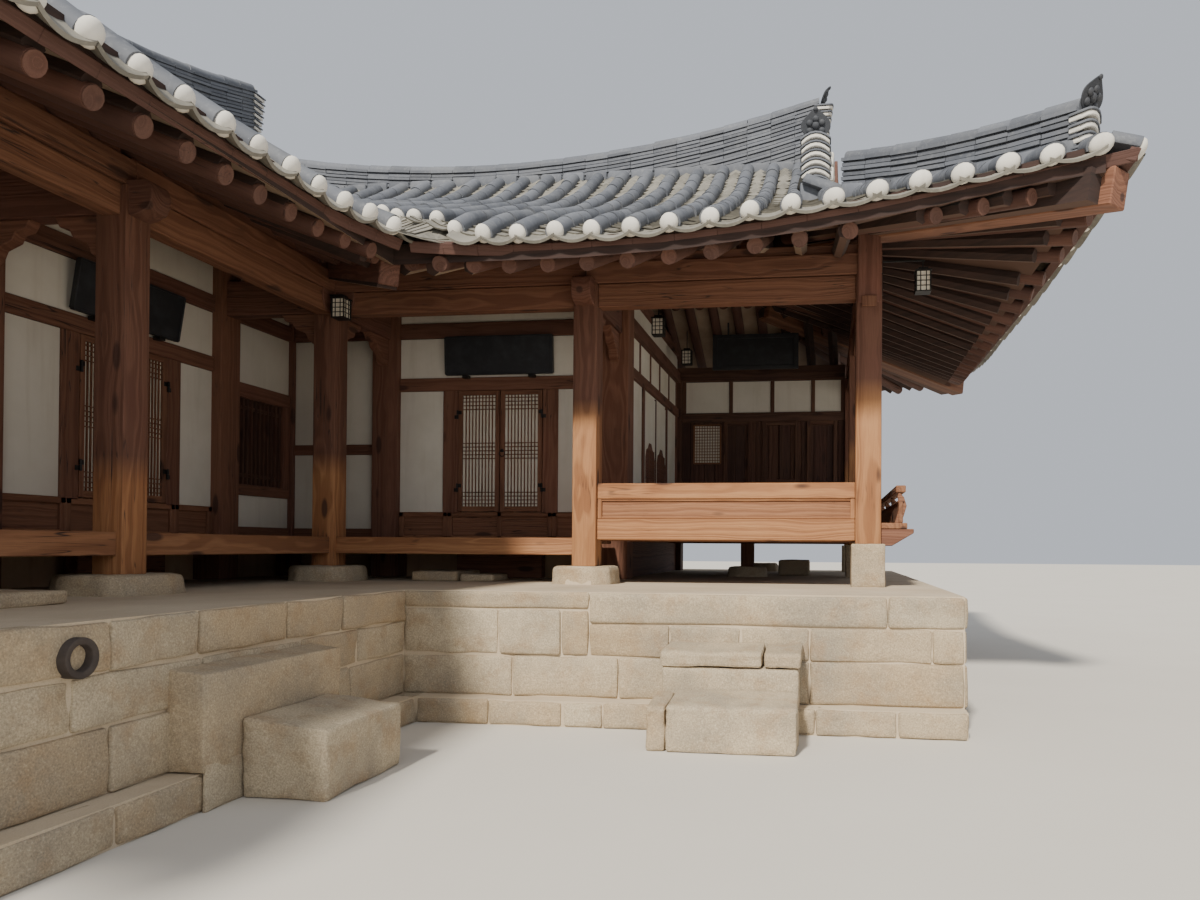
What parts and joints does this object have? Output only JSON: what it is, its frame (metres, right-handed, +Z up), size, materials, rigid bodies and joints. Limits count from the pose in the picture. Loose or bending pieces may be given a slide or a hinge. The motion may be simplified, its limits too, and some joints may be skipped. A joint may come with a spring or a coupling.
{
  "type": "hanok house with two wings, veranda and open pavilion bay",
  "caption": "Korean tiled timber house in an L on a granite podium, with a veranda, lattice doors that open and a railed open pavilion bay.",
  "frame": {"origin": "ground level, under the middle of the house's bounding box", "axes": "+Z up, +X along the right wing's front towards the open pavilion, +Y away from the courtyard"},
  "size_m": [13.9822, 16.7122, 7.5409],
  "materials": {
    "granite": "rough hewn",
    "earth_floor": "matte",
    "weathered_pine": "weathered",
    "dark_pine": "weathered",
    "lattice_wood": "matte",
    "plaster": "matte",
    "door_paper": "matte",
    "roof_tile": "matte",
    "black_board": "satin",
    "fired_clay": "matte"
  },
  "bodies": {
    "house": {"back_wall": "plaster", "back_windows": "lattice_wood", "column_corner": "weathered_pine", "column_left_1": "weathered_pine", "column_left_2": "weathered_pine", "column_middle": "weathered_pine", "column_right": "weathered_pine", "corner_wall_left": "plaster", "corner_wall_right": "plaster", "corner_window": "lattice_wood", "drain_mouth": "fired_clay", "hanging_board": "black_board", "hip_left_court": "roof_tile", "hip_left_front": "roof_tile", "hip_left_rear": "roof_tile", "hip_right_front": "roof_tile", "hip_right_rear": "roof_tile", "left_door_sill": "weathered_pine", "left_end_wall": "plaster", "left_far_doors": "lattice_wood", "left_far_wall": "plaster", "left_front_beams": "weathered_pine", "left_step_lower": "granite", "left_step_upper": "granite", "left_wall_far": "plaster", "left_wall_near": "plaster", "left_wall_over": "plaster", "name_board_left": "black_board", "name_board_right": "black_board", "pavilion_floor": "weathered_pine", "pavilion_floor_post": "weathered_pine", "pavilion_rail_front": "weathered_pine", "pavilion_rail_right": "weathered_pine", "pavilion_rear_wall": "dark_pine", "pavilion_side_wall": "door_paper", "podium_left": "granite", "podium_right": "granite", "rear_wall": "plaster", "rear_windows": "lattice_wood", "ridge_left": "roof_tile", "ridge_right": "roof_tile", "right_door_sill": "weathered_pine", "right_front_beams": "weathered_pine", "right_side_frame": "weathered_pine", "right_step_lower": "granite", "right_step_upper": "granite", "right_wall_far": "plaster", "right_wall_near": "plaster", "right_wall_over": "plaster", "roof_left": "roof_tile", "roof_right": "roof_tile", "room_floor": "earth_floor", "veranda_left": "weathered_pine", "veranda_right": "weathered_pine"},
    "right_leaf_near": {"right_door_near": "lattice_wood"},
    "right_leaf_far": {"right_door_far": "lattice_wood"},
    "left_leaf_near": {"left_door_near": "lattice_wood"},
    "left_leaf_far": {"left_door_far": "lattice_wood"}
  },
  "joints": [
    {"name": "right_near_hinge", "type": "hinge", "parent": "house", "child": "right_leaf_near", "pos_m": [0.708, 2.709, 1.79], "axis": [0, 0, -1], "range_deg": [0, 100]},
    {"name": "right_far_hinge", "type": "hinge", "parent": "house", "child": "right_leaf_far", "pos_m": [1.712, 2.709, 1.79], "axis": [0, 0, 1], "range_deg": [0, 100]},
    {"name": "left_near_hinge", "type": "hinge", "parent": "house", "child": "left_leaf_near", "pos_m": [-1.344, -0.282, 1.79], "axis": [0, 0, -1], "range_deg": [0, 100]},
    {"name": "left_far_hinge", "type": "hinge", "parent": "house", "child": "left_leaf_far", "pos_m": [-1.344, 0.722, 1.79], "axis": [0, 0, 1], "range_deg": [0, 100]}
  ]
}
